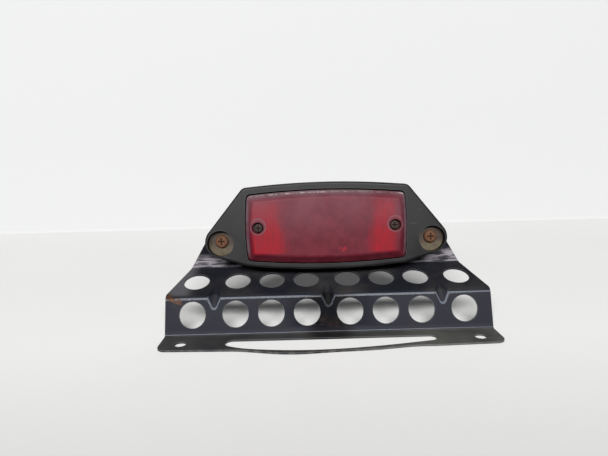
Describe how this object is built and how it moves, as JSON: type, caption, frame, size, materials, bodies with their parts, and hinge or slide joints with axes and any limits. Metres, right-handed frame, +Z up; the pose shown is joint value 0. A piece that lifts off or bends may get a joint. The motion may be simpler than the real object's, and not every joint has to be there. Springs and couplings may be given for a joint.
{
  "type": "motorcycle tail light on bracket",
  "caption": "Red rectangular tail light in a black trapezoid base, on a folded, perforated black steel bracket with a slotted fixing flange.",
  "frame": {"origin": "midway between the two fixing holes, on the underside of the bracket's front flange", "axes": "+Z up, +X along the bracket to the right of someone who faces the lens, -Y out towards that person"},
  "size_m": [0.2736, 0.1255, 0.1247],
  "materials": {
    "black_enamel": "glossy black enamel, worn and rusty at edges",
    "black_plastic": "satin black moulded plastic",
    "red_lens": "red moulded acrylic, hazed by age",
    "gasket_rubber": "soft black rubber",
    "damper_rubber": "black rubber",
    "rusty_steel": "zinc-plated steel with brown rust",
    "dull_zinc": "dull yellow-grey zinc plating",
    "bright_zinc": "zinc-plated steel",
    "brass": "plain brass",
    "metallised": "bright metallised plastic",
    "clear_glass": "clear bulb glass",
    "nickel": "nickel-plated brass cap",
    "black_glass": "black insulating glass",
    "solder": "dull solder",
    "tungsten": "tungsten wire",
    "fibre_board": "brown laminated board",
    "spring_steel": "bright spring wire"
  },
  "bodies": {
    "fixture": {"bracket": "black_enamel", "lamp_housing": "black_plastic", "lens": "red_lens", "lens_gasket": "gasket_rubber", "lens_screws": "rusty_steel", "lens_screw_seals": "gasket_rubber", "lens_screw_inserts": "brass", "mounting_screws": "rusty_steel", "mounting_washers": "dull_zinc", "mounting_grommets": "damper_rubber", "mounting_collars": "bright_zinc", "mounting_nuts": "bright_zinc", "reflector": "metallised", "socket_shell": "bright_zinc", "socket_rivets": "bright_zinc", "earth_tab": "brass", "socket_boot": "damper_rubber", "contact_spring": "spring_steel"},
    "bulb": {"bulb_glass": "clear_glass", "bulb_base": "nickel", "bulb_insulator": "black_glass", "bulb_contacts": "solder", "bulb_pins": "nickel", "bulb_stem": "clear_glass", "bulb_filaments": "tungsten"},
    "contacts": {"contact_carrier": "fibre_board", "contact_plungers": "brass"}
  },
  "joints": [
    {"name": "bulb_push", "type": "slide", "parent": "fixture", "child": "bulb", "axis": [0, 0.9938, -0.1115], "range_m": [0, 0.0014], "stiffness_N_per_m": 1200, "springref_m": -0.004},
    {"name": "contact_push", "type": "slide", "parent": "fixture", "child": "contacts", "axis": [0, 0.9938, -0.1115], "range_m": [0, 0.0016], "stiffness_N_per_m": 300, "springref_m": -0.001, "deforming": ["contact_spring"]}
  ],
  "couplings": [
    {"joint": "contact_push", "follows": "bulb_push", "ratio": 1}
  ]
}
